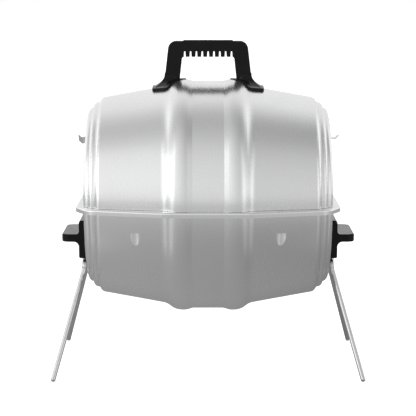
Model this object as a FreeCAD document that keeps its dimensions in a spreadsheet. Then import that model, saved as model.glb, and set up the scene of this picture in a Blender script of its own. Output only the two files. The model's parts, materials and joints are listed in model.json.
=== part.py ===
import FreeCAD, Part
import math
import os

import Sketcher

# A barrel charcoal grill: two pressed half barrels on splayed rod legs.  Millimetres, +Z up,
# +X to the right end of the barrel, -Y to the front.  The origin lies on the floor under the
# middle of the barrel.  Inside each barrel piece, height is counted from the barrel's axis.

doc = FreeCAD.newDocument("barrel_charcoal_grill")

# ---------------------------------------------------------------------------------------------
# Driving dimensions: alias, value, meaning.
# ---------------------------------------------------------------------------------------------
DIMENSIONS = [
    ("axis_height", 296, "height of the barrel's axis above the floor"),
    ("sheet", 1.2, "thickness of the pressed sheet"),
    ("body_gap", 0.3, "gap between pieces that move apart"),
    ("fit_gap", 0.05, "radial clearance of a running fit"),
    ("seat_gap", 0.1, "gap between two pieces screwed together"),
    ("band_half", 26, "half length of the barrel's middle band"),
    ("band_radius", 196.8, "outer radius of the middle band"),
    ("band_fillet", 3, "rounding where a hoop rises from the band"),
    ("crest_x", 39, "place of a hoop's crest"),
    ("crest_radius", 200.6, "outer radius of a hoop's crest before rounding"),
    ("crest_fillet", 30, "rounding of the crest"),
    ("flank_x", 56.5, "place where a hoop's outer flank steepens"),
    ("flank_radius", 199.3, "outer radius of the hoop there"),
    ("flank_fillet", 30, "rounding where the flank steepens"),
    ("foot_x", 71.2, "place of a hoop's outer foot"),
    ("foot_radius", 188.15, "outer radius at the hoop's outer foot"),
    ("foot_fillet", 24, "rounding of the outer foot"),
    ("shoulder_x", 182.0, "place of the shoulder"),
    ("shoulder_radius", 168.2, "outer radius of the shoulder"),
    ("step_fillet", 8.5, "rounding of the shoulder and the rim of the end"),
    ("outer_groove_x", 186.5, "place of the outer groove"),
    ("outer_groove_radius", 160.4, "outer radius at the outer groove"),
    ("groove_fillet", 1, "rounding of the grooves"),
    ("bead_x", 195, "place of the bead between the grooves"),
    ("bead_radius", 159.2, "outer radius of the bead"),
    ("bead_fillet", 7, "rounding of the bead"),
    ("inner_groove_x", 196.5, "place of the inner groove"),
    ("inner_groove_radius", 151.2, "outer radius at the inner groove"),
    ("end_x", 205, "half length of the barrel"),
    ("end_radius", 149.6, "outer radius of the flat end before rounding"),
    ("flange_middle_x", 70, "half length of the flange's widest stretch"),
    ("flange_middle_y", 208, "half width of the flange"),
    ("flange_taper_x", 200, "where the flange's taper turns into its corner"),
    ("flange_taper_y", 173.6, "half width of the flange there"),
    ("flange_end_x", 218.5, "half length of the flange"),
    ("flange_end_y", 137, "half width of the flange's straight end"),
    ("flange_end_round", 20, "rounding of the flange at its straight end"),
    ("flange_taper_round", 30, "rounding of the flange where its taper ends"),
    ("flange_middle_round", 40, "rounding of the flange where its taper starts"),
    ("flange_lip", 8.5, "height of the flange's turned-down edge"),
    ("flange_rounding", 3, "rounding along the flange's top edge"),
    ("tongue_x", 120, "place of a lanced grate tongue along the barrel"),
    ("tongue_y", 179.3, "distance of the centre of a tongue's round scoop from the middle"),
    ("tongue_radius", 11.2, "radius of the scoop on the inside of the bowl"),
    ("tongue_top", 38.5, "depth of the tongue's cut edge under the axis"),
    ("tongue_height", 32, "height of the cuts that shape a tongue"),
    ("handle_top", 265.2, "top of the lid handle"),
    ("handle_pad_top", 266.7, "top of the raised pad on the grip bar"),
    ("handle_pad_half", 41, "half length of the raised pad"),
    ("handle_pad_slope", 2, "length of the slope at each end of the raised pad"),
    ("handle_half_top", 67.0, "outer half length of the handle at its top"),
    ("handle_half_root", 77.4, "outer half length of the handle at its root"),
    ("handle_root", 175, "height of the root, inside the lid's surface"),
    ("handle_corner", 14, "rounding of the handle's top corners"),
    ("handle_depth", 20, "depth of the handle's bar and legs"),
    ("hand_half_top", 44.4, "half length of the hand opening at its top"),
    ("hand_half_root", 51.5, "half length of the hand opening at the root"),
    ("hand_top", 238.3, "top of the hand opening"),
    ("hand_corner", 4, "rounding of the hand opening"),
    ("notch_top", 247.7, "top of a notch of the comb"),
    ("notch_pitch", 10.0, "distance from notch to notch"),
    ("notch_count", 9, "number of notches in the comb"),
    ("notch_half_top", 1.1, "half width of a notch at its top"),
    ("notch_half_mouth", 1.8, "half width of a notch at its mouth"),
    ("pad_inner_x", 38, "inner end of a handle foot"),
    ("pad_wide_x", 70, "where a handle foot reaches its full width"),
    ("pad_wide_y", 44, "full half width of a handle foot"),
    ("pad_outer_x", 95, "outer end of a handle foot"),
    ("pad_inner_y", 6, "half width of a handle foot at its inner end"),
    ("pad_outer_y", 33, "half width of a handle foot at its outer end"),
    ("pad_blank", 155, "height where the blank of a handle foot starts"),
    ("flare_leg_x", 73.9, "outer face of a handle leg where its flare starts"),
    ("flare_inner_x", 52, "inner end of the flare"),
    ("flare_inset", 1, "how far the flare starts inside the leg's front and rear faces"),
    ("pad_corner", 4, "rounding of a handle foot's corners"),
    ("pad_thickness", 5, "thickness of a handle foot over the lid beside the hoop"),
    ("toe_thickness", 0.8, "thickness of a handle foot over the hoop's crest"),
    ("flank_thickness", 2.5, "thickness of a handle foot over the hoop's outer flank"),
    ("pad_gap", 0.25, "gap between the lid and a handle foot"),
    ("lid_screw_x", 70, "place of the lid handle's screws"),
    ("lid_screw_y", 6, "distance of those screws from the middle"),
    ("lid_screw_seat", 186.0, "height of the washers' upper face"),
    ("screw_radius", 2, "radius of a screw's shank"),
    ("screw_hole", 2.3, "radius of a clearance hole in sheet"),
    ("screw_length", 15, "length of a screw's shank"),
    ("head_radius", 4, "radius of a screw's head"),
    ("head_height", 2.2, "height of a screw's head"),
    ("washer_radius", 5, "radius of a washer"),
    ("washer_thickness", 0.8, "thickness of a washer"),
    ("nut_radius", 4, "radius of a nut over its corners"),
    ("nut_height", 3.2, "height of a nut"),
    ("damper_z", 75, "height of the dampers' centre above the axis"),
    ("damper_radius", 30, "radius of a damper disc"),
    ("vent_circle", 17, "radius of the circle of vent holes"),
    ("vent_radius", 5, "radius of a vent hole"),
    ("tab_z", 24.6, "distance of the finger tab from the disc's centre"),
    ("tab_width", 19, "width of the finger tab"),
    ("tab_out", 14.2, "how far out the tab's bend lies"),
    ("tab_drop", 2, "how far the tab falls to its bend"),
    ("tab_tip_out", 19.5, "how far out the tab's tip lies"),
    ("tab_tip_rise", 6, "how far the tip rises from the bend"),
    ("rivet_radius", 2.5, "radius of a damper rivet"),
    ("rivet_head", 5, "radius of a rivet's head"),
    ("rivet_height", 1.6, "height of a rivet's head"),
    ("grip_plate_top", 37.5, "depth of the side handle's plate top under the axis"),
    ("grip_plate_bottom", 103, "depth of the plate's bottom"),
    ("grip_plate_x", 221.3, "outer face of the plate"),
    ("grip_top", 61.3, "depth of the grip's top"),
    ("grip_bottom", 74.5, "depth of the grip's bottom"),
    ("grip_x", 251, "outer edge of the grip"),
    ("grip_half", 53, "half width of the side handle"),
    ("grip_corner", 14, "rounding of the grip's corners seen from above"),
    ("grip_edge", 3, "rounding of the grip's edges"),
    ("grip_upper_fillet", 5, "fillet between plate and grip, above"),
    ("grip_lower_fillet", 9, "fillet between plate and grip, below"),
    ("grip_screw_y", 32, "distance of the side handle's screws from the middle"),
    ("grip_screw_z", 69, "depth of those screws under the axis"),
    ("rod_radius", 4, "radius of the leg rod"),
    ("rod_x", 212, "place of a leg frame's crossbar"),
    ("rod_z", 109.5, "depth of the crossbar under the axis"),
    ("rod_y", 60, "half length of the crossbar"),
    ("stub_z", 120, "depth of the bend under each end of the crossbar"),
    ("rod_bend", 8, "bend radius of the rod"),
    ("foot_out_x", 259.5, "place of the feet along the barrel"),
    ("foot_out_y", 143, "place of the feet across the barrel"),
    ("foot_centre", 3.5, "height of the centre of a rod's domed end"),
    ("foot_trim", 20, "depth of the block that trims the domed ends flat"),
    ("bracket_half", 28, "half length of a leg bracket"),
    ("bracket_sheet", 1.5, "thickness of a leg bracket"),
    ("bracket_bottom", 131, "depth of a leg bracket's lower edge"),
    ("bracket_screw_y", 18, "distance of the bracket's screws from the middle"),
    ("bracket_screw_z", 123, "depth of the bracket's screws"),
    ("wire_radius", 2.5, "radius of the grates' frame wire"),
    ("bar_radius", 2, "radius of the grates' bars"),
    ("grate_half_x", 166.5, "half length of the cooking grate's frame"),
    ("grate_half_y", 169, "half width of the cooking grate's frame"),
    ("grate_corner", 42.5, "bend radius of the cooking grate's frame"),
    ("grate_bar_pitch", 17.5, "distance between the cooking grate's bars"),
    ("grate_bar_count", 19, "number of the cooking grate's bars"),
    ("coal_z", 106.5, "depth of the charcoal grate"),
    ("coal_half_x", 125, "half length of the charcoal grate's frame"),
    ("coal_half_y", 139.5, "half width of the charcoal grate's frame"),
    ("coal_corner", 10, "bend radius of the charcoal grate's frame"),
    ("coal_bar_pitch", 14, "distance between the charcoal grate's bars"),
    ("coal_bar_count", 17, "number of the charcoal grate's bars"),
    ("brace_y", 60, "place of the grates' cross braces"),
    ("inlet_radius", 8, "radius of an air inlet"),
    ("inlet_pitch", 12, "degrees from inlet to inlet"),
    ("inlet_centre", 42, "degrees from straight down to the middle inlet"),
    ("shutter_half", 13, "half width of the air shutter"),
    ("shutter_half_angle", 27, "half of the shutter's spread in degrees"),
    ("shutter_travel", 6, "degrees that the shutter slides"),
    ("shutter_rivet_angle", 22.5, "degrees from the middle inlet to a shutter rivet"),
    ("shutter_rivet", 2, "radius of a shutter rivet"),
    ("shutter_tab", 10, "height of the shutter's finger tab"),
    ("through", 600, "length of a cut that goes right through the barrel"),
]

sheet = doc.addObject("Spreadsheet::Sheet", "Sizes")
for row, (alias, value, meaning) in enumerate(DIMENSIONS, 1):
    sheet.set(f"A{row}", alias)
    sheet.set(f"B{row}", str(value))
    sheet.setAlias(f"B{row}", alias)
    sheet.set(f"C{row}", meaning)
doc.recompute()


class Size:
    """A size as a number together with the expression that binds it to the sheet."""

    def __init__(self, value, text):
        self.value = value
        self.text = text

    def combine(self, other, sign, swapped=False):
        other = as_size(other)
        first, second = (other, self) if swapped else (self, other)
        results = {
            "+": lambda a, b: a + b,
            "-": lambda a, b: a - b,
            "*": lambda a, b: a * b,
            "/": lambda a, b: a / b,
        }
        value = results[sign](first.value, second.value)
        return Size(value, f"({first.text} {sign} {second.text})")

    def __add__(self, other):
        return self.combine(other, "+")

    def __radd__(self, other):
        return self.combine(other, "+", True)

    def __sub__(self, other):
        return self.combine(other, "-")

    def __rsub__(self, other):
        return self.combine(other, "-", True)

    def __mul__(self, other):
        return self.combine(other, "*")

    def __rmul__(self, other):
        return self.combine(other, "*", True)

    def __truediv__(self, other):
        return self.combine(other, "/")

    def __neg__(self):
        return self * -1


def as_size(number):
    """Turn a plain number into a Size; a Size stays as it is."""
    return number if isinstance(number, Size) else Size(number, repr(number))


class Sizes:
    """The sheet's cells by alias, each as a Size."""

    def __getattr__(self, alias):
        return Size(float(sheet.get(alias)), f"Sizes.{alias}")


S = Sizes()
ZERO = as_size(0)
SIDES = (("left", -1), ("right", 1))
# The left damper stands partly closed.
LEFT_DAMPER_TURN = 40
# How far a radial cut starts inside the wall and ends outside it.
WALL_CUT = 5
# The flare from a handle leg to its foot: depth under the handle's top, and share of the full spread.
FLARE = ((54.5, 0.02), (65.5, 0.16), (73.5, 0.55), (80.5, 0.95))
# Share of the foot's fanned stretch that the flare starts with.
FLARE_FAN = 0.3
# Rounding of the flare's corners.
FLARE_CORNER = as_size(1)
# Radius of the flat on top of a screw's or a rivet's head, as a share of the head's radius.
CROWN = 0.6
# Distance between two crossing welded wires' centres, as a share of their diameter.
WELD = 0.9
# Length of the shutter's finger tab, as a share of the shutter's width.
TAB_SHARE = 0.7
X_AXIS = FreeCAD.Vector(1, 0, 0)
Y_AXIS = FreeCAD.Vector(0, 1, 0)
Z_AXIS = FreeCAD.Vector(0, 0, 1)
LID_LEVEL = S.axis_height + S.body_gap
INNER_END = S.end_x - S.sheet


# ---------------------------------------------------------------------------------------------
# Helpers: binding, sketches and features
# ---------------------------------------------------------------------------------------------
def bind(target, name, size):
    """Bind one property of an object to the sheet."""
    size = as_size(size)
    if "Sizes." in size.text:
        target.setExpression(name, size.text)
    elif name.isidentifier():
        setattr(target, name, size.value)


def place(target, base, rotation=None):
    """Put an object at a base of three sizes, turned by a fixed rotation."""
    base = [as_size(part) for part in base]
    rotation = rotation or FreeCAD.Rotation()
    target.Placement = FreeCAD.Placement(FreeCAD.Vector(*[part.value for part in base]), rotation)
    for axis, part in zip("xyz", base):
        bind(target, f"Placement.Base.{axis}", part)


def new_body(label, base=None, rotation=None):
    """Start a PartDesign body; its origin lies on the barrel's axis unless told otherwise."""
    body = doc.addObject("PartDesign::Body", label)
    body.Label = label
    place(body, base or (0, 0, S.axis_height), rotation)
    return body


def sketch_on(body, plane, name, offset=ZERO):
    """Start a sketch on one of the body's own origin planes, moved along its normal."""
    sketch = body.newObject("Sketcher::SketchObject", name)
    support = next(f for f in body.Origin.OriginFeatures if f.Role == plane)
    sketch.AttachmentSupport = [(support, "")]
    sketch.MapMode = "FlatFace"
    offset = as_size(offset)
    sketch.AttachmentOffset = FreeCAD.Placement(FreeCAD.Vector(0, 0, offset.value), FreeCAD.Rotation())
    bind(sketch, "AttachmentOffset.Base.z", offset)
    return sketch


def fixed(geometry, point, axis, size):
    """The constraint that fixes one coordinate of a sketch point, and the size it is bound to."""
    if size.value == 0:
        return Sketcher.Constraint("PointOnObject", geometry, point, -2 if axis == "X" else -1), None
    return Sketcher.Constraint("Distance" + axis, -1, 1, geometry, point, size.value), size


def constrain(sketch, pairs):
    """Add constraints all at once, and bind each one that has a size."""
    numbers = sketch.addConstraint([constraint for constraint, _ in pairs])
    for number, (_, size) in zip(numbers, pairs):
        if size is not None:
            bind(sketch, f"Constraints[{number}]", size)


def corner_shape(before, point, after, radius):
    """Start, middle and end of the arc that rounds a corner, and whether it turns left."""
    back = (before - point).normalize()
    ahead = (after - point).normalize()
    turns_left = back.cross(ahead).z < 0
    if radius == 0:
        return point, point, point, turns_left
    opening = back.getAngle(ahead)
    reach = radius / math.tan(opening / 2)
    depth = radius / math.sin(opening / 2) - radius
    middle = point + (back + ahead).normalize() * depth
    return point + back * reach, middle, point + ahead * reach, turns_left


def outline(sketch, corners):
    """Draw a closed outline through corners (x, y, rounding), each rounded by a tangent arc."""
    corners = [tuple(as_size(part) for part in corner) for corner in corners]
    points = [FreeCAD.Vector(x.value, y.value, 0) for x, y, _ in corners]
    count = len(corners)
    shapes = [
        corner_shape(points[index - 1], points[index], points[(index + 1) % count], corners[index][2].value)
        for index in range(count)
    ]
    lines = [
        sketch.addGeometry(Part.LineSegment(shapes[index][2], shapes[(index + 1) % count][0]))
        for index in range(count)
    ]
    pairs = []
    for index, (x, y, rounding) in enumerate(corners):
        before, after = lines[index - 1], lines[index]
        start, middle, end, turns_left = shapes[index]
        if rounding.value == 0:
            pairs.append((Sketcher.Constraint("Coincident", before, 2, after, 1), None))
            pairs += [fixed(after, 1, "X", x), fixed(after, 1, "Y", y)]
            continue
        arc = sketch.addGeometry(Part.Arc(start, middle, end))
        corner = sketch.addGeometry(Part.Point(points[index]), True)
        first, last = (1, 2) if turns_left else (2, 1)
        pairs += [
            (Sketcher.Constraint("PointOnObject", corner, 1, before), None),
            (Sketcher.Constraint("PointOnObject", corner, 1, after), None),
            (Sketcher.Constraint("Tangent", before, 2, arc, first), None),
            (Sketcher.Constraint("Tangent", arc, last, after, 1), None),
            (Sketcher.Constraint("Radius", arc, rounding.value), rounding),
            fixed(corner, 1, "X", x),
            fixed(corner, 1, "Y", y),
        ]
    constrain(sketch, pairs)
    return sketch


def circles(sketch, centres, radius):
    """Draw one circle of the same radius round each centre (x, y)."""
    pairs = []
    for x, y in centres:
        x, y = as_size(x), as_size(y)
        index = sketch.addGeometry(Part.Circle(FreeCAD.Vector(x.value, y.value, 0), Z_AXIS, radius.value))
        pairs += [
            (Sketcher.Constraint("Radius", index, radius.value), radius),
            fixed(index, 3, "X", x),
            fixed(index, 3, "Y", y),
        ]
    constrain(sketch, pairs)
    return sketch


def pad(body, sketch, length, both=False, back=False, cut=False):
    """Pad a sketch, or pocket it when cut is set; both spreads it to both sides of its plane."""
    kind = "Pocket" if cut else "Pad"
    feature = body.newObject(f"PartDesign::{kind}", f"{sketch.Name}_{kind.lower()}")
    feature.Profile = sketch
    feature.Type = 0
    bind(feature, "Length", length)
    feature.Midplane = both
    feature.Reversed = back
    return feature


def turn(body, sketch, lower=False, cut=False):
    """Turn a sketch half a turn about the barrel's axis, above it or below it."""
    kind = "Groove" if cut else "Revolution"
    feature = body.newObject(f"PartDesign::{kind}", f"{sketch.Name}_{kind.lower()}")
    feature.Profile = sketch
    feature.ReferenceAxis = (sketch, ["H_Axis"])
    feature.Angle = 180
    feature.Reversed = lower
    return feature


def round_edges(body, feature, radius, chosen):
    """Fillet those edges of a feature that the test picks."""
    doc.recompute()
    names = [f"Edge{number}" for number, edge in enumerate(feature.Shape.Edges, 1) if chosen(edge)]
    fillet = body.newObject("PartDesign::Fillet", f"{feature.Name}_fillet")
    fillet.Base = (feature, names)
    bind(fillet, "Radius", radius)
    return fillet


def lies_at(edge, axis, level):
    """Tell whether an edge lies wholly at one level along one axis."""
    low = getattr(edge.BoundBox, axis + "Min")
    high = getattr(edge.BoundBox, axis + "Max")
    return abs(low - level) < 0.01 and abs(high - level) < 0.01


def cylinder(name, radius, height, base, direction=Z_AXIS):
    """A cylinder that starts at a base and runs in a direction."""
    target = doc.addObject("Part::Cylinder", name)
    bind(target, "Radius", radius)
    bind(target, "Height", height)
    place(target, base, FreeCAD.Rotation(Z_AXIS, direction))
    return target


def box(name, low, high):
    """A box between two corners of three sizes each."""
    target = doc.addObject("Part::Box", name)
    for side, start, end in zip(("Length", "Width", "Height"), low, high):
        bind(target, side, as_size(end) - start)
    place(target, low)
    return target


def fuse(name, shapes):
    """Fuse shapes into one solid."""
    target = doc.addObject("Part::MultiFuse", name)
    target.Shapes = shapes
    return target


def cut(name, base, tools):
    """Cut tools out of a base."""
    target = doc.addObject("Part::Cut", name)
    target.Base = base
    target.Tool = tools[0] if len(tools) == 1 else fuse(f"{name}_tools", tools)
    return target


def group(name, shapes):
    """Keep several separate solids in one sub-part."""
    target = doc.addObject("Part::Compound", name)
    target.Links = shapes
    return target


def rounded_wire(points, radius, closed=False):
    """A wire of straight runs joined by tangent arcs of one radius."""
    count = len(points)
    shapes = []
    for index, point in enumerate(points):
        is_end = not closed and index in (0, count - 1)
        shapes.append(
            (point, None, point, None) if is_end
            else corner_shape(points[index - 1], point, points[(index + 1) % count], radius)
        )
    edges = []
    for index, (start, middle, end, _) in enumerate(shapes):
        if middle is not None:
            edges.append(Part.Arc(start, middle, end).toShape())
        if closed or index < count - 1:
            edges.append(Part.LineSegment(end, shapes[(index + 1) % count][0]).toShape())
    return Part.Wire(edges)


def rod(name, points, wire_radius, bend, closed=False):
    """A round rod swept along a wire of straight runs and tangent bends."""
    path = doc.addObject("Part::Feature", f"{name}_path")
    path.Shape = rounded_wire(points, bend.value, closed)
    first = path.Shape.Edges[0]
    start = first.valueAt(first.FirstParameter)
    heading = first.tangentAt(first.FirstParameter)
    section = doc.addObject("Part::Circle", f"{name}_section")
    bind(section, "Radius", wire_radius)
    section.Placement = FreeCAD.Placement(start, FreeCAD.Rotation(Z_AXIS, heading))
    sweep = doc.addObject("Part::Sweep", name)
    sweep.Sections = [section]
    sweep.Spine = (path, [f"Edge{number}" for number in range(1, len(path.Shape.Edges) + 1)])
    sweep.Solid = True
    return sweep


def vector(x, y, z):
    """A vector from three sizes or numbers."""
    return FreeCAD.Vector(*[as_size(part).value for part in (x, y, z)])


# ---------------------------------------------------------------------------------------------
# The barrel's outline, shared by the lid, the bowl and what lies on them
# ---------------------------------------------------------------------------------------------
def barrel_side(side, inset):
    """Corners of the outline from the middle band to one flat end, moved inwards by inset."""
    return [
        (S.band_half * side, S.band_radius - inset, S.band_fillet + inset),
        (S.crest_x * side, S.crest_radius - inset, S.crest_fillet - inset),
        (S.flank_x * side, S.flank_radius - inset, S.flank_fillet - inset),
        (S.foot_x * side, S.foot_radius - inset, S.foot_fillet + inset),
        ((S.shoulder_x - inset) * side, S.shoulder_radius - inset, S.step_fillet - inset),
        ((S.outer_groove_x - inset) * side, S.outer_groove_radius - inset, S.groove_fillet + inset),
        ((S.bead_x - inset) * side, S.bead_radius - inset, S.bead_fillet - inset),
        ((S.inner_groove_x - inset) * side, S.inner_groove_radius - inset, S.groove_fillet + inset),
        ((S.end_x - inset) * side, S.end_radius - inset, S.step_fillet - inset),
    ]


def barrel_outline(inset):
    """The whole outline from end to end, closed along the axis."""
    end = S.end_x - inset
    left = barrel_side(-1, inset)[::-1]
    return [(-end, ZERO, ZERO)] + left + barrel_side(1, inset) + [(end, ZERO, ZERO)]


def lid_screw_places():
    """Where the lid handle's screws stand, seen from above."""
    return [(S.lid_screw_x * side, S.lid_screw_y * row) for side in (-1, 1) for row in (-1, 1)]


def vent_places():
    """Centres of the four vent holes about a damper's centre, at forty-five degrees."""
    reach = S.vent_circle * math.sqrt(0.5)
    return [(reach * across, reach * up) for across in (-1, 1) for up in (-1, 1)]


# ---------------------------------------------------------------------------------------------
# Lid
# ---------------------------------------------------------------------------------------------
def make_lid_shell():
    body = new_body("lid_shell", (0, 0, LID_LEVEL))
    turn(body, outline(sketch_on(body, "XY_Plane", "lid_outside"), barrel_outline(ZERO)))
    turn(body, outline(sketch_on(body, "XY_Plane", "lid_inside"), barrel_outline(S.sheet)), cut=True)
    doc.recompute()
    holes = circles(sketch_on(body, "XY_Plane", "lid_screw_holes"), lid_screw_places(), S.screw_hole)
    pad(body, holes, S.handle_top, back=True, cut=True)
    vents = sketch_on(body, "YZ_Plane", "lid_vents")
    circles(vents, [(across, up + S.damper_z) for across, up in vent_places()], S.vent_radius)
    circles(vents, [(ZERO, S.damper_z)], S.rivet_radius + S.fit_gap)
    pad(body, vents, S.through, both=True, cut=True)
    return body


def handle_foot_corners(side, inner, wide, outer, rounding):
    """Plan of a handle foot: half widths at its inner end, its widest place and its outer end."""
    front = [
        (inner[0] * side, -inner[1], ZERO),
        (wide[0] * side, -wide[1], rounding),
        (outer[0] * side, -outer[1], rounding),
    ]
    rear = [(x, -y, corner) for x, y, corner in front[::-1]]
    return front + rear


def arch_corners():
    """Front view of the handle's arch, with the raised pad on its grip bar and the hand opening."""
    right = [
        (S.handle_half_root, S.handle_root, ZERO),
        (S.handle_half_top, S.handle_top, S.handle_corner),
        (S.handle_pad_half + S.handle_pad_slope, S.handle_top, ZERO),
        (S.handle_pad_half, S.handle_pad_top, ZERO),
    ]
    opening = [
        (S.hand_half_top, S.hand_top, S.hand_corner),
        (S.hand_half_root, S.handle_root, ZERO),
    ]
    left = [(-x, y, rounding) for x, y, rounding in right[::-1]]
    opening_left = [(-x, y, rounding) for x, y, rounding in opening[::-1]]
    return right + left + opening_left + opening


def make_lid_handle():
    """An arch on two feet that follow the lid, with a flare over each foot and a comb under the bar."""
    body = new_body("lid_handle", (0, 0, LID_LEVEL))
    for name, side in SIDES:
        corners = handle_foot_corners(side, (S.pad_inner_x, S.pad_inner_y), (S.pad_wide_x, S.pad_wide_y),
                                      (S.pad_outer_x, S.pad_outer_y), S.pad_corner)
        foot = outline(sketch_on(body, "XY_Plane", f"foot_plan_{name}", S.pad_blank), corners)
        pad(body, foot, S.crest_radius + S.pad_thickness - S.pad_blank)
    above_left, above_right = [[
        (S.crest_x * side, S.crest_radius + S.toe_thickness, S.crest_fillet),
        (S.flank_x * side, S.flank_radius + S.flank_thickness, S.flank_fillet),
        (S.foot_x * side, S.foot_radius + S.pad_thickness, S.foot_fillet),
        (S.shoulder_x * side, S.shoulder_radius + S.pad_thickness, ZERO),
        (S.shoulder_x * side, S.handle_top, ZERO),
    ] for side in (-1, 1)]
    over = outline(sketch_on(body, "XY_Plane", "foot_top"), above_left[::-1] + above_right)
    turn(body, over, cut=True)
    arch = outline(sketch_on(body, "XZ_Plane", "arch_front"), arch_corners())
    pad(body, arch, S.handle_depth, both=True)
    leg_y = S.handle_depth / 2 - S.flare_inset
    for name, side in SIDES:
        sections = []
        for number, (drop, spread) in enumerate(FLARE):
            fan = FLARE_FAN + (1 - FLARE_FAN) * spread
            wide = (S.flare_inner_x + (S.pad_wide_x - S.flare_inner_x) * fan,
                    leg_y + (S.pad_wide_y - leg_y) * spread)
            outer = (S.flare_leg_x + (S.pad_outer_x - S.flare_leg_x) * spread,
                     leg_y + (S.pad_outer_y - leg_y) * spread)
            corners = handle_foot_corners(side, (S.flare_inner_x, leg_y), wide, outer, FLARE_CORNER)
            section = sketch_on(body, "XY_Plane", f"flare_{name}_{number}", S.handle_top - drop)
            sections.append(outline(section, corners))
        loft = body.newObject("PartDesign::AdditiveLoft", f"flare_{name}")
        loft.Profile = sections[0]
        loft.Sections = sections[1:]
    under = sketch_on(body, "XY_Plane", "lid_surface")
    turn(body, outline(under, barrel_outline(-S.pad_gap)), cut=True)
    span = S.notch_pitch * (S.notch_count - 1)
    first = span / -2
    mouth = S.hand_top - S.body_gap
    notch = outline(sketch_on(body, "XZ_Plane", "comb_notch"), [
        (first - S.notch_half_mouth, mouth, ZERO),
        (first + S.notch_half_mouth, mouth, ZERO),
        (first + S.notch_half_top, S.notch_top, ZERO),
        (first - S.notch_half_top, S.notch_top, ZERO),
    ])
    pocket = pad(body, notch, S.through, both=True, cut=True)
    comb = body.newObject("PartDesign::LinearPattern", "comb")
    comb.Originals = [pocket]
    comb.Direction = (notch, ["H_Axis"])
    bind(comb, "Length", span)
    bind(comb, "Occurrences", S.notch_count)
    body.Tip = comb
    doc.recompute()
    holes = circles(sketch_on(body, "XY_Plane", "handle_pilots"), lid_screw_places(),
                    S.screw_radius + S.fit_gap)
    pad(body, holes, S.lid_screw_seat + S.screw_length + 1, back=True, cut=True)
    return body


def make_vent_damper(name, side, turned):
    """A disc with four vent holes and a bent finger tab, turning on its rivet."""
    rotation = FreeCAD.Rotation(Z_AXIS, 0 if side > 0 else 180) * FreeCAD.Rotation(X_AXIS, turned)
    body = new_body(f"vent_damper_{name}", (S.end_x * side + S.body_gap * side, 0, LID_LEVEL + S.damper_z),
                    rotation)
    disc = circles(sketch_on(body, "YZ_Plane", f"damper_disc_{name}"), [(ZERO, ZERO)], S.damper_radius)
    pad(body, disc, S.sheet)
    half = S.sheet / 2
    tab = outline(sketch_on(body, "XZ_Plane", f"damper_tab_{name}"), [
        (half, S.tab_z - half, ZERO),
        (S.tab_out, S.tab_z - S.tab_drop - half, half),
        (S.tab_tip_out + half, S.tab_z - S.tab_drop + S.tab_tip_rise - half, ZERO),
        (S.tab_tip_out - half / 2, S.tab_z - S.tab_drop + S.tab_tip_rise + half, ZERO),
        (S.tab_out, S.tab_z - S.tab_drop + S.sheet, half),
        (half, S.tab_z + half, ZERO),
    ])
    pad(body, tab, S.tab_width, both=True)
    doc.recompute()
    vents = circles(sketch_on(body, "YZ_Plane", f"damper_vents_{name}"), vent_places(), S.vent_radius)
    circles(vents, [(ZERO, ZERO)], S.rivet_radius + S.fit_gap)
    pad(body, vents, S.tab_out, both=True, cut=True)
    return body


def make_damper_rivet(name, side):
    """The rivet through the lid's end, with a low domed head on each side."""
    direction = X_AXIS * side
    face = S.end_x * side
    height = LID_LEVEL + S.damper_z
    grip = (S.sheet + S.body_gap * 2) * side
    shank = cylinder(f"rivet_shank_{name}", S.rivet_radius, S.sheet * 2 + S.body_gap * 2 + S.seat_gap,
                     (face - (S.sheet + S.seat_gap) * side, 0, height), direction)
    outer = rivet_head(f"rivet_outer_{name}", (face + grip, 0, height), direction)
    inner = rivet_head(f"rivet_inner_{name}", (face - (S.sheet + S.seat_gap) * side, 0, height), -direction)
    return fuse(f"damper_rivet_{name}", [shank, outer, inner])


def rivet_head(name, base, direction):
    """A low truncated dome."""
    head = doc.addObject("Part::Cone", name)
    bind(head, "Radius1", S.rivet_head)
    bind(head, "Radius2", S.rivet_head * CROWN)
    bind(head, "Height", S.rivet_height)
    place(head, base, FreeCAD.Rotation(Z_AXIS, direction))
    return head


def screw(name, base, direction, head_at_base=True):
    """A pan-head screw: its shank runs from the base in a direction, its head lies behind the base."""
    shank = cylinder(f"{name}_shank", S.screw_radius, S.screw_length, base, direction)
    rotation = FreeCAD.Rotation(Z_AXIS, -direction)
    collar = doc.addObject("Part::Cylinder", f"{name}_collar")
    bind(collar, "Radius", S.head_radius)
    bind(collar, "Height", S.head_height / 2)
    place(collar, base, rotation)
    step = [as_size(part) - as_size(round(axis)) * S.head_height / 2 for part, axis in zip(base, direction)]
    crown = doc.addObject("Part::Cone", f"{name}_crown")
    bind(crown, "Radius1", S.head_radius)
    bind(crown, "Radius2", S.head_radius * CROWN)
    bind(crown, "Height", S.head_height / 2)
    place(crown, step, rotation)
    return fuse(name, [shank, collar, crown])


def washer(name, base, direction):
    """A flat washer whose face lies on the base."""
    disc = cylinder(f"{name}_disc", S.washer_radius, S.washer_thickness, base, direction)
    bore = cylinder(f"{name}_bore", S.screw_radius + S.seat_gap, S.washer_thickness, base, direction)
    return cut(name, disc, [bore])


def nut(name, base, direction):
    """A hexagonal nut whose face lies on the base."""
    block = doc.addObject("Part::Prism", f"{name}_block")
    block.Polygon = 6
    bind(block, "Circumradius", S.nut_radius)
    bind(block, "Height", S.nut_height)
    place(block, base, FreeCAD.Rotation(Z_AXIS, direction))
    bore = cylinder(f"{name}_bore", S.screw_radius + S.fit_gap, S.nut_height, base, direction)
    return cut(name, block, [bore])


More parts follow.
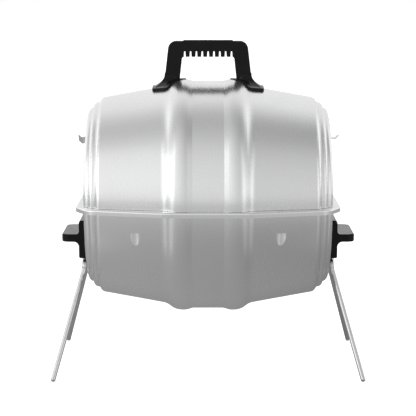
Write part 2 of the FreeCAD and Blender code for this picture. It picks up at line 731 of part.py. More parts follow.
def make_lid_fasteners():
    """Four screws and washers that hold the lid handle from inside the lid."""
    screws, washers = [], []
    seat = LID_LEVEL + S.lid_screw_seat
    for number, (x, y) in enumerate(lid_screw_places(), 1):
        washers.append(washer(f"lid_washer_{number}", (x, y, seat - S.washer_thickness), Z_AXIS))
        head = (x, y, seat - S.washer_thickness - S.seat_gap)
        screws.append(screw(f"lid_screw_{number}", head, Z_AXIS))
    return group("lid_handle_screws", screws), group("lid_handle_washers", washers)


# ---------------------------------------------------------------------------------------------
# Bowl
# ---------------------------------------------------------------------------------------------
def flange_corners(inset):
    """Plan of the flange, moved inwards by inset."""
    quarter = [
        (S.flange_end_x - inset, S.flange_end_y, S.flange_end_round - inset),
        (S.flange_taper_x, S.flange_taper_y - inset, S.flange_taper_round - inset),
        (S.flange_middle_x, S.flange_middle_y - inset, S.flange_middle_round - inset),
    ]
    right_rear = quarter
    left_rear = [(-x, y, r) for x, y, r in quarter[::-1]]
    left_front = [(-x, -y, r) for x, y, r in quarter]
    right_front = [(x, -y, r) for x, y, r in quarter[::-1]]
    return right_rear + left_rear + left_front + right_front


def cut_tongues(body, name, radius):
    """Cut the four upright scoops of the grate tongues below their straight cut edges."""
    centres = [(S.tongue_x * side, S.tongue_y * row) for side in (-1, 1) for row in (-1, 1)]
    scoops = circles(sketch_on(body, "XY_Plane", name, -S.tongue_top), centres, radius)
    pad(body, scoops, S.tongue_height, cut=True)


def make_bowl_shell():
    hollow = new_body("bowl_hollow", (0, 0, 0))
    inside = outline(sketch_on(hollow, "XY_Plane", "bowl_inside"), barrel_outline(S.sheet))
    turn(hollow, inside, lower=True)
    doc.recompute()
    body = new_body("bowl_pressing")
    tray = outline(sketch_on(body, "XY_Plane", "flange_plan"), flange_corners(ZERO))
    tray_pad = pad(body, tray, S.flange_lip, back=True)
    round_edges(body, tray_pad, S.flange_rounding, lambda edge: lies_at(edge, "Z", 0))
    under = sketch_on(body, "XY_Plane", "flange_underside", -S.flange_lip)
    outline(under, flange_corners(S.sheet))
    pad(body, under, S.flange_lip - S.sheet, back=True, cut=True)
    doc.recompute()
    turn(body, outline(sketch_on(body, "XY_Plane", "bowl_outside"), barrel_outline(ZERO)), lower=True)
    cut_tongues(hollow, "tongue_backs", S.tongue_radius)
    doc.recompute()
    removal = body.newObject("PartDesign::Boolean", "hollowing")
    removal.Type = "Cut"
    removal.setObjects([hollow])
    doc.recompute()
    cut_tongues(body, "tongue_fronts", S.tongue_radius - S.sheet)
    places = [(S.grip_screw_y * row, -S.grip_screw_z) for row in (-1, 1)]
    places += [(S.bracket_screw_y * row, -S.bracket_screw_z) for row in (-1, 1)]
    holes = circles(sketch_on(body, "YZ_Plane", "end_screw_holes"), places, S.screw_hole)
    pad(body, holes, S.through, both=True, cut=True)
    doc.recompute()
    tools = [radial_cylinder(f"inlet_{number}", S.inlet_radius, degrees)
             for number, degrees in enumerate(inlet_angles(), 1)]
    tools += [radial_cylinder(f"shutter_rivet_hole_{number}", S.shutter_rivet + S.fit_gap, degrees)
              for number, degrees in enumerate(shutter_rivet_angles(), 1)]
    return cut("bowl_shell", body, tools)


def radial_direction(degrees):
    """Direction square to the barrel's axis, counted from straight down towards the rear."""
    turned = math.radians(degrees)
    return FreeCAD.Vector(0, math.sin(turned), -math.cos(turned))


def radial_place(radius, degrees):
    """A place at a radius from the barrel's axis, as three sizes."""
    direction = radial_direction(degrees)
    return (0, as_size(radius) * direction.y, S.axis_height + as_size(radius) * direction.z)


def radial_cylinder(name, radius, degrees, start=None, length=WALL_CUT * 2):
    """A cylinder that points away from the barrel's axis; it crosses the wall unless told otherwise."""
    start = start or S.band_radius - WALL_CUT
    return cylinder(name, radius, length, radial_place(start, degrees), radial_direction(degrees))


def inlet_angles():
    """Directions of the three air inlets."""
    middle, pitch = S.inlet_centre.value, S.inlet_pitch.value
    return [middle + pitch * step for step in (-1, 0, 1)]


def shutter_rivet_angles():
    """Directions of the two rivets that the shutter slides on."""
    return [S.inlet_centre.value + S.shutter_rivet_angle.value * step for step in (-1, 1)]


def sector(name, radius, half_width, first, last):
    """A slice of a cylinder about the barrel's axis, between two directions."""
    target = doc.addObject("Part::Cylinder", name)
    bind(target, "Radius", radius)
    bind(target, "Height", as_size(half_width) * 2)
    target.Angle = last - first
    start = radial_direction(first)
    place(target, (-as_size(half_width), 0, S.axis_height),
          FreeCAD.Rotation(start, X_AXIS.cross(start), X_AXIS, "ZXY"))
    return target


def make_air_shutter():
    """A curved plate with three holes and two slots, behind and under the bowl."""
    inner = S.band_radius + S.body_gap
    outer = inner + S.sheet
    middle, spread = S.inlet_centre.value, S.shutter_half_angle.value
    plate = sector("shutter_plate", outer, S.shutter_half, middle - spread, middle + spread)
    tools = [sector("shutter_core", inner, S.shutter_half + 1, 0, 360)]
    for number, degrees in enumerate(inlet_angles(), 1):
        tools.append(radial_cylinder(f"shutter_vent_{number}", S.inlet_radius, degrees))
    width = S.shutter_rivet + S.seat_gap
    for number, degrees in enumerate(shutter_rivet_angles(), 1):
        first = degrees - S.shutter_travel.value
        tools.append(sector(f"shutter_slot_{number}", outer + 1, width, first, degrees))
        tools.append(radial_cylinder(f"slot_end_{number}", width, first))
        tools.append(radial_cylinder(f"slot_start_{number}", width, degrees))
    curved = cut("shutter_curved", plate, tools)
    tab = doc.addObject("Part::Box", "shutter_tab")
    bind(tab, "Length", S.shutter_half * 2 * TAB_SHARE)
    bind(tab, "Width", S.sheet)
    bind(tab, "Height", S.shutter_tab)
    edge = radial_direction(middle + spread)
    turned = FreeCAD.Rotation(X_AXIS, edge.cross(X_AXIS), edge, "ZXY")
    low = radial_place(inner, middle + spread)
    place(tab, (-(S.shutter_half * TAB_SHARE), low[1], low[2]), turned)
    return fuse("air_shutter", [curved, tab])


def make_shutter_rivets():
    """Two rivets with low domed heads outside the shutter and inside the bowl."""
    rivets = []
    inside = S.band_radius - S.sheet
    outside = S.band_radius + S.body_gap * 2 + S.sheet
    for number, degrees in enumerate(shutter_rivet_angles(), 1):
        shank = radial_cylinder(f"shutter_shank_{number}", S.shutter_rivet, degrees,
                                inside - S.body_gap, outside - inside + S.body_gap)
        outer = rivet_head(f"shutter_head_{number}", radial_place(outside, degrees),
                           radial_direction(degrees))
        inner = rivet_head(f"shutter_tail_{number}", radial_place(inside - S.body_gap, degrees),
                           -radial_direction(degrees))
        rivets.append(fuse(f"shutter_rivet_{number}", [shank, outer, inner]))
    return group("air_shutter_rivets", rivets)


# ---------------------------------------------------------------------------------------------
# Side handles
# ---------------------------------------------------------------------------------------------
def make_side_handle(name, side):
    """A T-shaped moulding: a plate on the bowl's end and a grip that stands out of it."""
    body = new_body(f"side_handle_{name}")
    back = S.end_x + S.seat_gap
    profile = outline(sketch_on(body, "XZ_Plane", f"grip_profile_{name}"), [
        (back * side, -S.grip_plate_bottom, ZERO),
        (S.grip_plate_x * side, -S.grip_plate_bottom, S.grip_edge),
        (S.grip_plate_x * side, -S.grip_bottom, S.grip_lower_fillet),
        (S.grip_x * side, -S.grip_bottom, S.grip_edge),
        (S.grip_x * side, -S.grip_top, S.grip_edge),
        (S.grip_plate_x * side, -S.grip_top, S.grip_upper_fillet),
        (S.grip_plate_x * side, -S.grip_plate_top, S.grip_upper_fillet),
        (back * side, -S.grip_plate_top, ZERO),
    ])
    pad(body, profile, S.grip_half * 2, both=True)
    doc.recompute()
    far, wide = S.grip_x + S.grip_corner, S.grip_half + S.grip_corner
    near = S.grip_plate_x + S.sheet
    plan = outline(sketch_on(body, "XY_Plane", f"grip_plan_{name}"), [
        (near * side, -S.grip_half, ZERO),
        (S.grip_x * side, -S.grip_half, S.grip_corner),
        (S.grip_x * side, S.grip_half, S.grip_corner),
        (near * side, S.grip_half, ZERO),
        (near * side, wide, ZERO),
        (far * side, wide, ZERO),
        (far * side, -wide, ZERO),
        (near * side, -wide, ZERO),
    ])
    pad(body, plan, S.through, cut=True)
    doc.recompute()
    holes = circles(sketch_on(body, "YZ_Plane", f"grip_pilots_{name}"),
                    [(S.grip_screw_y * row, -S.grip_screw_z) for row in (-1, 1)], S.screw_radius + S.fit_gap)
    pad(body, holes, S.end_x + S.screw_length, back=side > 0, cut=True)
    return body


def make_end_fasteners():
    """Screws, washers and nuts that go through the flat ends of the bowl."""
    grip_screws, grip_washers, leg_screws, leg_nuts = [], [], [], []
    for name, side in SIDES:
        out = X_AXIS * side
        for row in (-1, 1):
            tag = f"{name}_{'front' if row < 0 else 'rear'}"
            y, z = S.grip_screw_y * row, S.axis_height - S.grip_screw_z
            inside = INNER_END - S.seat_gap - S.washer_thickness
            grip_washers.append(washer(f"grip_washer_{tag}", (inside * side, y, z), out))
            grip_screws.append(screw(f"grip_screw_{tag}", ((inside - S.seat_gap) * side, y, z), out))
            y, z = S.bracket_screw_y * row, S.axis_height - S.bracket_screw_z
            outside = S.end_x + S.seat_gap * 2 + S.bracket_sheet
            leg_screws.append(screw(f"leg_screw_{tag}", (outside * side, y, z), -out))
            seat = (INNER_END - S.seat_gap) * side
            leg_nuts.append(nut(f"leg_nut_{tag}", (seat, y, z), -out))
    return (group("side_handle_screws", grip_screws), group("side_handle_washers", grip_washers),
            group("leg_bracket_screws", leg_screws), group("leg_bracket_nuts", leg_nuts))


# ---------------------------------------------------------------------------------------------
# Legs
# ---------------------------------------------------------------------------------------------
def make_leg_bracket(name, side):
    """A strap screwed under the side handle that hooks round the crossbar of a leg frame."""
    half = S.bracket_half
    back = S.end_x + S.seat_gap
    bore = S.rod_radius + S.fit_gap
    around = bore + S.bracket_sheet
    middle = S.axis_height - S.rod_z

    def slab(tag, x_near, x_far, z_low, z_high):
        near, far = (x_near, x_far) if side > 0 else (-x_far, -x_near)
        return box(f"bracket_{tag}_{name}", (near, -half, z_low), (far, half, z_high))

    hook = cylinder(f"bracket_hook_{name}", around, half * 2, (S.rod_x * side, half, middle), -Y_AXIS)
    flange = slab("flange", back, back + S.bracket_sheet, S.axis_height - S.bracket_bottom, middle - bore)
    shelf = slab("shelf", back, S.rod_x, middle - around, middle - bore)
    lip = slab("lip", S.rod_x - S.rod_radius, S.rod_x, middle + bore, middle + around)
    hollow = cylinder(f"bracket_bore_{name}", bore, half * 2 + 2, (S.rod_x * side, half + 1, middle), -Y_AXIS)
    mouth = slab("mouth", back, S.rod_x, middle - bore, middle + bore)
    tools = [hollow, mouth]
    for row in (-1, 1):
        tools.append(cylinder(f"bracket_hole_{name}_{row + 2}", S.screw_hole, S.bracket_sheet * 2,
                              ((back - S.seat_gap) * side, S.bracket_screw_y * row,
                               S.axis_height - S.bracket_screw_z), X_AXIS * side))
    return cut(f"leg_bracket_{name}", fuse(f"bracket_blank_{name}", [hook, flange, shelf, lip]), tools)


def make_leg_frame(name, side):
    """One rod bent into a splayed frame; its domed ends stand on small flats on the floor."""
    foot = vector(S.foot_out_x * side, S.foot_out_y, S.foot_centre)
    stub = vector(S.rod_x * side, S.rod_y, S.axis_height - S.stub_z)
    elbow = vector(S.rod_x * side, S.rod_y, S.axis_height - S.rod_z)
    rear = [foot, stub, elbow]
    front = [FreeCAD.Vector(point.x, -point.y, point.z) for point in reversed(rear)]
    bent = rod(f"leg_rod_{name}", rear + front, S.rod_radius, S.rod_bend)
    ends = []
    for row in (-1, 1):
        dome = doc.addObject("Part::Sphere", f"leg_dome_{name}_{row + 2}")
        bind(dome, "Radius", S.rod_radius)
        place(dome, (S.foot_out_x * side, S.foot_out_y * row, S.foot_centre))
        ends.append(dome)
    floor = box(f"floor_{name}", (-S.foot_out_x * 2, -S.foot_out_y * 2, -S.foot_trim),
                (S.foot_out_x * 2, S.foot_out_y * 2, ZERO))
    return cut(f"leg_frame_{name}", fuse(f"leg_blank_{name}", [bent] + ends), [floor])


# ---------------------------------------------------------------------------------------------
# Grates
# ---------------------------------------------------------------------------------------------
def chord(half_x, half_y, corner, x):
    """Half width of a rounded rectangle at a place along it."""
    beyond = abs(x) - (half_x - corner)
    if beyond <= 0:
        return half_y
    return half_y - corner + math.sqrt(corner ** 2 - beyond ** 2)


def make_grate(label, half_x, half_y, corner, level, pitch, count):
    """A welded wire grate: a rounded frame, bars across it and two braces under the bars."""
    height = S.axis_height - level
    corners = [vector(half_x * x, half_y * y, height) for x, y in ((1, 1), (-1, 1), (-1, -1), (1, -1))]
    pieces = [rod(f"{label}_frame", corners, S.wire_radius, corner, closed=True)]
    for number in range(int(count.value)):
        x = pitch * (number - (count.value - 1) / 2)
        reach = chord(half_x.value, half_y.value, corner.value, x.value)
        pieces.append(cylinder(f"{label}_bar_{number + 1}", S.bar_radius, 2 * reach,
                               (x, -reach, height), Y_AXIS))
    for row in (-1, 1):
        under = height - S.bar_radius * 2 * WELD
        pieces.append(cylinder(f"{label}_brace_{row + 2}", S.bar_radius, pitch * (count - 1),
                               (pitch * (count - 1) / -2, S.brace_y * row, under), X_AXIS))
    return fuse(label, pieces)


# ---------------------------------------------------------------------------------------------
# The assembly
# ---------------------------------------------------------------------------------------------
lid_screws, lid_washers = make_lid_fasteners()
grip_screws, grip_washers, bracket_screws, bracket_nuts = make_end_fasteners()
sub_parts = [
    make_lid_shell(), make_lid_handle(), lid_screws, lid_washers,
    make_bowl_shell(), make_air_shutter(), make_shutter_rivets(),
    grip_screws, grip_washers, bracket_screws, bracket_nuts,
    make_grate("cooking_grate", S.grate_half_x, S.grate_half_y, S.grate_corner,
               S.tongue_top - S.wire_radius, S.grate_bar_pitch, S.grate_bar_count),
    make_grate("charcoal_grate", S.coal_half_x, S.coal_half_y, S.coal_corner,
               S.coal_z, S.coal_bar_pitch, S.coal_bar_count),
]
for name, side in SIDES:
    sub_parts += [
        make_vent_damper(name, side, LEFT_DAMPER_TURN if side < 0 else 0),
        make_damper_rivet(name, side),
        make_side_handle(name, side),
        make_leg_bracket(name, side),
        make_leg_frame(name, side),
    ]
doc.recompute()

faults = [item.Name for item in doc.Objects if {"Invalid", "Error"} & set(item.State)]
faults += [part.Label for part in sub_parts if part.Shape.isNull() or not part.Shape.isValid()]
if faults:
    raise RuntimeError(f"these objects failed: {sorted(set(faults))}")

os.makedirs("parts", exist_ok=True)
for part in sub_parts:
    part.Shape.exportStep(f"parts/{part.Label}.step")
    print(f"{part.Label}: {len(part.Shape.Solids)} solid, {part.Shape.Volume / 1000:.1f} cm3")
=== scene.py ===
import json
import math

import bmesh
import bpy
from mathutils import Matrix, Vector


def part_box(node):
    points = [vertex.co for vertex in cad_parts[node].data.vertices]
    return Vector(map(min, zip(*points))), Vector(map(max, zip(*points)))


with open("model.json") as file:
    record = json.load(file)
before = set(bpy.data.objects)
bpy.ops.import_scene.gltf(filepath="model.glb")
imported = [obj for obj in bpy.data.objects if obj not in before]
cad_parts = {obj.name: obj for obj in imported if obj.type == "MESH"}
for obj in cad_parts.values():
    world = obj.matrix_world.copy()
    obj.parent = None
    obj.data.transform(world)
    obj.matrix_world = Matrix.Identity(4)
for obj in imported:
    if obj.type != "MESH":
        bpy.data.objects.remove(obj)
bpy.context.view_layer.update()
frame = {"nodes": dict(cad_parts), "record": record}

nodes = frame["nodes"]

# The barrel's axis lies in the plane where lid and bowl meet, at the top of the bowl's flange.
AXIS_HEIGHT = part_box("bowl_shell")[1].z
MM = 0.001


# ---------------------------------------------------------------------------------------------
# Node helpers
# ---------------------------------------------------------------------------------------------
class Graph:
    """Short forms for building a node tree."""

    def __init__(self, tree):
        self.tree = tree
        tree.nodes.clear()

    def add(self, kind, inputs=None, **settings):
        node = self.tree.nodes.new(kind)
        for name, value in settings.items():
            setattr(node, name, value)
        for name, value in (inputs or {}).items():
            self.feed(node, name, value)
        return node

    def feed(self, node, name, value):
        """Give one input a value, or link it when the value is another node's output."""
        if isinstance(value, bpy.types.NodeSocket):
            self.tree.links.new(value, node.inputs[name])
        else:
            node.inputs[name].default_value = value

    def math(self, operation, first, second=0.0):
        node = self.add("ShaderNodeMath", {0: first, 1: second}, operation=operation)
        return node.outputs[0]

    def noise(self, vector, scale, detail=3.0, roughness=0.55):
        node = self.add("ShaderNodeTexNoise", {"Vector": vector, "Scale": scale, "Detail": detail,
                                               "Roughness": roughness})
        return node.outputs["Fac"]

    def spread(self, factor, low, high, from_low=0.3, from_high=0.7):
        """Spread a factor over a new range."""
        node = self.add("ShaderNodeMapRange", {"Value": factor, "From Min": from_low, "From Max": from_high,
                                               "To Min": low, "To Max": high})
        return node.outputs["Result"]

    def ramp(self, factor, stops):
        """A ramp of greys; each stop is (place, grey)."""
        node = self.add("ShaderNodeValToRGB", {"Fac": factor})
        elements = node.color_ramp.elements
        while len(elements) < len(stops):
            elements.new(0.5)
        for element, (place, shade) in zip(elements, stops):
            element.position = place
            element.color = grey(shade)
        return node.outputs["Color"]

    def mix(self, factor, first, second):
        node = self.add("ShaderNodeMix", data_type="RGBA")
        self.feed(node, "Factor", factor)
        self.feed(node, "A", first)
        self.feed(node, "B", second)
        return node.outputs["Result"]

    def bump(self, height, strength, distance):
        node = self.add("ShaderNodeBump", {"Height": height, "Strength": strength, "Distance": distance})
        return node.outputs["Normal"]


def new_material(name):
    """An empty material and its graph."""
    material = bpy.data.materials.new(name)
    material.use_nodes = True
    return material, Graph(material.node_tree)


def finish_material(graph, **sockets):
    """Join a Principled shader to the output; underscores in a socket's name stand for spaces."""
    inputs = {name.replace("_", " "): value for name, value in sockets.items()}
    shader = graph.add("ShaderNodeBsdfPrincipled", inputs)
    graph.add("ShaderNodeOutputMaterial", {"Surface": shader.outputs["BSDF"]})


def grey(value, tint=0.0):
    """A grey that leans slightly to blue."""
    return (value * (1 - tint), value * (1 - tint / 2), value, 1.0)


# ---------------------------------------------------------------------------------------------
# Materials
# ---------------------------------------------------------------------------------------------
# Fineness of the patterns, in cells per metre.
SHEET_GRAIN = 1600.0
SHEET_SMUDGES = 9.0
SHEET_SPECKLE = 900.0
DRAW_MARKS = (900.0, 900.0, 30.0)
ROD_SPOTS = 140.0
ZINC_MOTTLE = 420.0
ZINC_CLOUD = 160.0
MOULD_GRAIN = 2600.0
MOULD_PEBBLE = 1500.0
MOULD_PATCHES = 28.0
# The sheet's grain round the barrel, in cells per radian.
SHEET_GRAIN_ROUND = 9.0
# Depth of the patterns, in metres.
SHEET_RELIEF = 0.00004
ROD_RELIEF = 0.00003
ZINC_RELIEF = 0.00005
MOULD_RELIEF = 0.00006
# Shares of a second pattern that lies on top of the first one in the relief.
SPECKLE_SHARE = 0.35
PEBBLE_SHARE = 0.7
# Change of the sheet's roughness, up and down, with its grain and with its smudges.
GRAIN_DULLING = 0.035
SMUDGE_DULLING = 0.03
# Roughness of the zinc plate and of the plastic, from their smoothest to their dullest places.
ZINC_ROUGHNESS = (0.26, 0.42)
MOULD_ROUGHNESS = (0.18, 0.27)


def barrel_coordinates(graph):
    """A point's place, its distance along the barrel and its angle round the barrel's axis."""
    place = graph.add("ShaderNodeTexCoord").outputs["Object"]
    parts = graph.add("ShaderNodeSeparateXYZ", {"Vector": place})
    up = graph.math("SUBTRACT", parts.outputs["Z"], AXIS_HEIGHT)
    turned = graph.math("ARCTAN2", up, parts.outputs["Y"])
    return place, parts.outputs["X"], turned


def satin_steel(name, colour, roughness):
    """Pressed stainless sheet: fine grain that runs round the barrel, faint smudges."""
    material, graph = new_material(name)
    place, along, turned = barrel_coordinates(graph)
    grain_along = graph.math("MULTIPLY", along, SHEET_GRAIN)
    grain_round = graph.math("MULTIPLY", turned, SHEET_GRAIN_ROUND)
    grain_place = graph.add("ShaderNodeCombineXYZ", {"X": grain_along, "Y": grain_round})
    grain = graph.noise(grain_place.outputs["Vector"], 1.0, detail=4.0, roughness=0.65)
    smudge = graph.noise(place, SHEET_SMUDGES, detail=5.0, roughness=0.6)
    speckle = graph.noise(place, SHEET_SPECKLE, detail=2.0)
    worn = graph.math("ADD", graph.spread(grain, -GRAIN_DULLING, GRAIN_DULLING),
                      graph.spread(smudge, -SMUDGE_DULLING, SMUDGE_DULLING))
    tint = graph.mix(graph.spread(smudge, 0.0, 1.0), grey(colour, tint=0.01), grey(colour * 0.965))
    shade = graph.mix(graph.spread(grain, 0.0, 0.35), tint, grey(colour * 0.9))
    height = graph.math("ADD", grain, graph.math("MULTIPLY", speckle, SPECKLE_SHARE))
    finish_material(graph, Base_Color=shade, Metallic=1.0, Anisotropic=0.25,
                    Roughness=graph.math("ADD", worn, roughness),
                    Normal=graph.bump(height, strength=0.12, distance=SHEET_RELIEF))
    return material


def bright_rod(name, colour, roughness):
    """Drawn and polished rod or plated wire: faint draw marks and a few dull spots."""
    material, graph = new_material(name)
    place = graph.add("ShaderNodeTexCoord").outputs["Object"]
    stretched = graph.add("ShaderNodeMapping", {"Vector": place, "Scale": DRAW_MARKS})
    marks = graph.noise(stretched.outputs["Vector"], 1.0)
    spots = graph.noise(place, ROD_SPOTS, detail=4.0, roughness=0.6)
    worn = graph.math("ADD", graph.spread(marks, -0.02, 0.03), graph.spread(spots, -0.02, 0.05))
    shade = graph.mix(graph.spread(spots, 0.0, 1.0), grey(colour), grey(colour * 0.9))
    finish_material(graph, Base_Color=shade, Metallic=1.0, Roughness=graph.math("ADD", worn, roughness),
                    Normal=graph.bump(marks, strength=0.1, distance=ROD_RELIEF))
    return material


def zinc_plate(name):
    """Zinc-plated steel: a fine crystal mottle and a duller skin."""
    material, graph = new_material(name)
    place = graph.add("ShaderNodeTexCoord").outputs["Object"]
    mottle = graph.add("ShaderNodeTexVoronoi", {"Vector": place, "Scale": ZINC_MOTTLE}).outputs["Distance"]
    cloud = graph.noise(place, ZINC_CLOUD, detail=4.0, roughness=0.6)
    spangle = graph.spread(mottle, 0.0, 1.0, from_low=0.1, from_high=0.6)
    shade = graph.mix(spangle, grey(0.72, tint=0.03), grey(0.6, tint=0.01))
    finish_material(graph, Base_Color=shade, Metallic=1.0, Roughness=graph.spread(cloud, *ZINC_ROUGHNESS),
                    Normal=graph.bump(mottle, strength=0.15, distance=ZINC_RELIEF))
    return material


def moulded_plastic(name):
    """Black moulded plastic: fine spark-eroded grain with slightly polished patches."""
    material, graph = new_material(name)
    place = graph.add("ShaderNodeTexCoord").outputs["Object"]
    grain = graph.noise(place, MOULD_GRAIN, detail=2.0, roughness=0.6)
    pebble = graph.add("ShaderNodeTexVoronoi", {"Vector": place, "Scale": MOULD_PEBBLE}).outputs["Distance"]
    patches = graph.noise(place, MOULD_PATCHES, detail=4.0, roughness=0.6)
    shade = graph.mix(graph.spread(patches, 0.0, 1.0), grey(0.004, tint=0.04), grey(0.007, tint=0.02))
    height = graph.math("ADD", grain, graph.math("MULTIPLY", pebble, PEBBLE_SHARE))
    finish_material(graph, Base_Color=shade, Specular_IOR_Level=0.17,
                    Roughness=graph.spread(patches, *MOULD_ROUGHNESS),
                    Normal=graph.bump(height, strength=0.2, distance=MOULD_RELIEF))
    return material


MATERIALS = {
    "satin_steel": satin_steel("satin_steel", colour=0.80, roughness=0.27),
    "bowl_steel": satin_steel("bowl_steel", colour=0.80, roughness=0.29),
    "black_plastic": moulded_plastic("black_plastic"),
    "zinc": zinc_plate("zinc_plate"),
    "chrome_wire": bright_rod("chrome_wire", colour=0.74, roughness=0.2),
    "polished_rod": bright_rod("polished_rod", colour=0.62, roughness=0.13),
}

for part in frame["record"]["subparts"]:
    mesh = nodes[part["node"]].data
    mesh.materials.clear()
    mesh.materials.append(MATERIALS[part["material_slot"]])


# ---------------------------------------------------------------------------------------------
# Edges: a small bevel softens what was moulded or bent
# ---------------------------------------------------------------------------------------------
LID_HANDLE_EDGE = 1.3 * MM
SIDE_HANDLE_EDGE = 0.9 * MM
SHEET_EDGE = 0.25 * MM
# Degrees that an edge turns by before it is bevelled; the lid handle keeps its shallow edges.
SHARP = 35.0
LID_HANDLE_SHARP = 50.0


def soften(node, width, segments=2, angle=SHARP):
    """Bevel the sharp edges of a node and keep its flat faces flat."""
    target = nodes[node]
    bevel = target.modifiers.new("soft_edges", "BEVEL")
    bevel.width = width
    bevel.segments = segments
    bevel.limit_method = "ANGLE"
    bevel.angle_limit = math.radians(angle)
    bevel.harden_normals = True
    bevel.use_clamp_overlap = True


soften("lid_handle", LID_HANDLE_EDGE, segments=3, angle=LID_HANDLE_SHARP)
for piece in ("side_handle_left", "side_handle_right"):
    soften(piece, SIDE_HANDLE_EDGE, segments=3)
for piece in ("vent_damper_left", "vent_damper_right", "leg_bracket_left", "leg_bracket_right"):
    soften(piece, SHEET_EDGE)


# ---------------------------------------------------------------------------------------------
# Floor, light and camera
# ---------------------------------------------------------------------------------------------
FLOOR_HALF = 30.0
# What the camera sees of the floor: its own colour, and a glow that lifts it to white.
FLOOR_COLOUR = 0.85
FLOOR_ROUGHNESS = 0.9
FLOOR_GLOW = 0.62
# Painted light: brightness of the floor's glow in reflections, left of the barrel, right of it, and far
# away; the darker floor near the barrel is painted shade.
FLOOR_LEFT = 0.43
FLOOR_RIGHT = 0.30
FLOOR_FAR = 0.56
# Metres over which left turns into right, and over which near turns into far.
FLOOR_ACROSS = (-0.35, 0.35)
FLOOR_AWAY = (0.4, 2.0)
# Painted shade: in reflections the floor under and behind the barrel is darker by this factor, which
# sets in between these two places along Y, in metres.
FLOOR_REAR_SHADE = 0.82
FLOOR_REAR_DEPTHS = (-0.05, 0.15)
# Upright bright panels in front of the barrel: degrees left (-) or right (+) of the front, and the
# share of light that each one adds.
PANELS = [(-50.0, 0.5), (50.0, 0.4)]
# Degrees from a panel's middle to its edge, and how many of them the light takes to fade there.
PANEL_HALF = 12.0
PANEL_FADE = 5.0
# Sines of the elevations between which the panels fade out at their top.
PANEL_TOP = (0.7, 0.85)
# Metres from the middle of the floor between which the panels' painted reflections on it fade in.
PANEL_FLOOR_REFLECTIONS = (0.36, 0.5)
# Parts of a direction along the barrel between which the left walls turn into the right ones.
WALLS_ACROSS = (-0.35, 0.35)
# The studio is brighter towards both ends of the barrel: the factors, and the parts of a direction
# along the barrel that they belong to.
END_FACTORS = (1.04, 1.48)
END_PARTS = (0.5, 0.93)
# Brightness of the studio along the arch from the front horizon over the ceiling to the rear one.
LEFT_WALLS = [(0.0, 0.96), (0.1, 1.0), (0.2, 0.97), (0.29, 0.9), (0.38, 0.74), (0.46, 0.6),
              (0.53, 0.61), (0.6, 0.78), (0.68, 0.98), (1.0, 1.0)]
RIGHT_WALLS = [(0.0, 0.74), (0.1, 0.7), (0.2, 0.65), (0.29, 0.56), (0.38, 0.45), (0.46, 0.39),
               (0.53, 0.45), (0.6, 0.72), (0.68, 0.94), (1.0, 0.9)]
# A square lamp left of the barrel, which faces the barrel's middle: metres and watts.
SOFTBOX_PLACE = (-2.6, -0.75, 1.2)
SOFTBOX_SIDE = 1.2
SOFTBOX_POWER = 2.0
# The camera: millimetres of lens and sensor, metres of place, and degrees that it looks down.
LENS = 130.8
SENSOR = 36.0
CAMERA_PLACE = (-0.0002, -2.6, AXIS_HEIGHT + 0.383)
CAMERA_TILT = 8.9


def panel_light(graph, across, ahead, shown):
    """Factor that the panels put on the light from a direction; shown is how much of them is let in."""
    heading = graph.math("MULTIPLY", graph.math("ARCTAN2", across, ahead), 180.0 / math.pi)
    total = 0.0
    for middle, share in PANELS:
        away = graph.math("ABSOLUTE", graph.math("SUBTRACT", heading, middle))
        added = graph.spread(away, share, 0.0, PANEL_HALF - PANEL_FADE, PANEL_HALF)
        total = graph.math("ADD", total, added)
    return graph.math("ADD", graph.math("MULTIPLY", total, shown), 1.0)


def make_floor():
    """A pale floor, white to the camera, that glows mid-grey with painted light and shade in reflections.
    """
    mesh = bpy.data.meshes.new("floor")
    grid = bmesh.new()
    bmesh.ops.create_grid(grid, x_segments=1, y_segments=1, size=FLOOR_HALF)
    grid.to_mesh(mesh)
    grid.free()
    floor = bpy.data.objects.new("floor", mesh)
    bpy.context.scene.collection.objects.link(floor)
    material, graph = new_material("floor_paper")
    place = graph.add("ShaderNodeNewGeometry").outputs["Position"]
    parts = graph.add("ShaderNodeSeparateXYZ", {"Vector": place})
    across = parts.outputs["X"]
    ahead = graph.math("MULTIPLY", parts.outputs["Y"], -1.0)
    distance = graph.add("ShaderNodeVectorMath", {0: place}, operation="LENGTH").outputs["Value"]
    # Painted light and shade: in reflections the floor glows brighter left of the barrel and far away,
    # darker near it.
    near = graph.spread(across, FLOOR_LEFT, FLOOR_RIGHT, *FLOOR_ACROSS)
    far = graph.spread(distance, 0.0, 1.0, *FLOOR_AWAY)
    shade = graph.math("ADD", near, graph.math("MULTIPLY", far, graph.math("SUBTRACT", FLOOR_FAR, near)))
    # Painted shade under and behind the barrel.
    rear = graph.spread(parts.outputs["Y"], 1.0, FLOOR_REAR_SHADE, *FLOOR_REAR_DEPTHS)
    shade = graph.math("MULTIPLY", shade, rear)
    # Painted reflections of the bright panels on the floor's glow.
    beyond = graph.spread(distance, 0.0, 1.0, *PANEL_FLOOR_REFLECTIONS)
    shade = graph.math("MULTIPLY", shade, panel_light(graph, across, ahead, beyond))
    looks = {"Base Color": grey(FLOOR_COLOUR), "Roughness": FLOOR_ROUGHNESS,
             "Emission Color": grey(1.0), "Emission Strength": FLOOR_GLOW}
    seen = graph.add("ShaderNodeBsdfPrincipled", looks)
    # In reflections the floor glows with this painted light, though it is no lamp.
    mirrored = graph.add("ShaderNodeEmission", {"Color": grey(1.0), "Strength": shade})
    camera_ray = graph.add("ShaderNodeLightPath").outputs["Is Camera Ray"]
    both = graph.add("ShaderNodeMixShader", {"Fac": camera_ray, 1: mirrored.outputs["Emission"],
                                             2: seen.outputs["BSDF"]})
    graph.add("ShaderNodeOutputMaterial", {"Surface": both.outputs["Shader"]})
    mesh.materials.append(material)


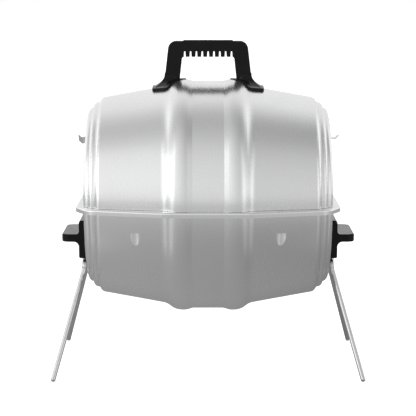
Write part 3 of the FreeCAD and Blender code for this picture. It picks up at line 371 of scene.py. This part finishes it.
def make_world():
    """A studio round the object: bright walls in front and behind, a darker ceiling between them."""
    world = bpy.data.worlds.new("studio")
    world.use_nodes = True
    bpy.context.scene.world = world
    graph = Graph(world.node_tree)
    direction = graph.add("ShaderNodeTexCoord").outputs["Generated"]
    parts = graph.add("ShaderNodeSeparateXYZ", {"Vector": direction})
    across = parts.outputs["X"]
    ahead = graph.math("MULTIPLY", parts.outputs["Y"], -1.0)
    arch = graph.math("DIVIDE", graph.math("ARCTAN2", parts.outputs["Z"], ahead), math.pi)
    right = graph.spread(across, 0.0, 1.0, *WALLS_ACROSS)
    walls = graph.mix(right, graph.ramp(arch, LEFT_WALLS), graph.ramp(arch, RIGHT_WALLS))
    ends = graph.spread(graph.math("ABSOLUTE", across), *END_FACTORS, *END_PARTS)
    below = graph.spread(parts.outputs["Z"], 1.0, 0.0, *PANEL_TOP)
    strength = graph.math("MULTIPLY", ends, panel_light(graph, across, ahead, below))
    lit = graph.add("ShaderNodeBackground", {"Color": walls, "Strength": strength})
    camera_ray = graph.add("ShaderNodeLightPath").outputs["Is Camera Ray"]
    plain = graph.add("ShaderNodeBackground", {"Color": grey(1.0), "Strength": 1.0})
    both = graph.add("ShaderNodeMixShader", {"Fac": camera_ray, 1: lit.outputs["Background"],
                                             2: plain.outputs["Background"]})
    graph.add("ShaderNodeOutputWorld", {"Surface": both.outputs["Shader"]})


def make_softbox():
    """The square lamp, turned to the barrel's middle."""
    lamp = bpy.data.lights.new("left_softbox", "AREA")
    lamp.shape = "SQUARE"
    lamp.size = SOFTBOX_SIDE
    lamp.energy = SOFTBOX_POWER
    holder = bpy.data.objects.new("left_softbox", lamp)
    holder.location = SOFTBOX_PLACE
    facing = Vector((0.0, 0.0, AXIS_HEIGHT)) - Vector(SOFTBOX_PLACE)
    holder.rotation_euler = facing.to_track_quat("-Z", "Y").to_euler()
    bpy.context.scene.collection.objects.link(holder)


def make_camera():
    """A long lens in front of the barrel, a little above it and looking slightly down."""
    camera = bpy.data.cameras.new("camera")
    camera.lens = LENS
    camera.sensor_width = SENSOR
    holder = bpy.data.objects.new("camera", camera)
    holder.location = CAMERA_PLACE
    holder.rotation_euler = (math.radians(90.0 - CAMERA_TILT), 0.0, 0.0)
    bpy.context.scene.collection.objects.link(holder)
    bpy.context.scene.camera = holder


make_floor()
make_world()
make_camera()
make_softbox()
bpy.context.scene.view_settings.view_transform = "Standard"
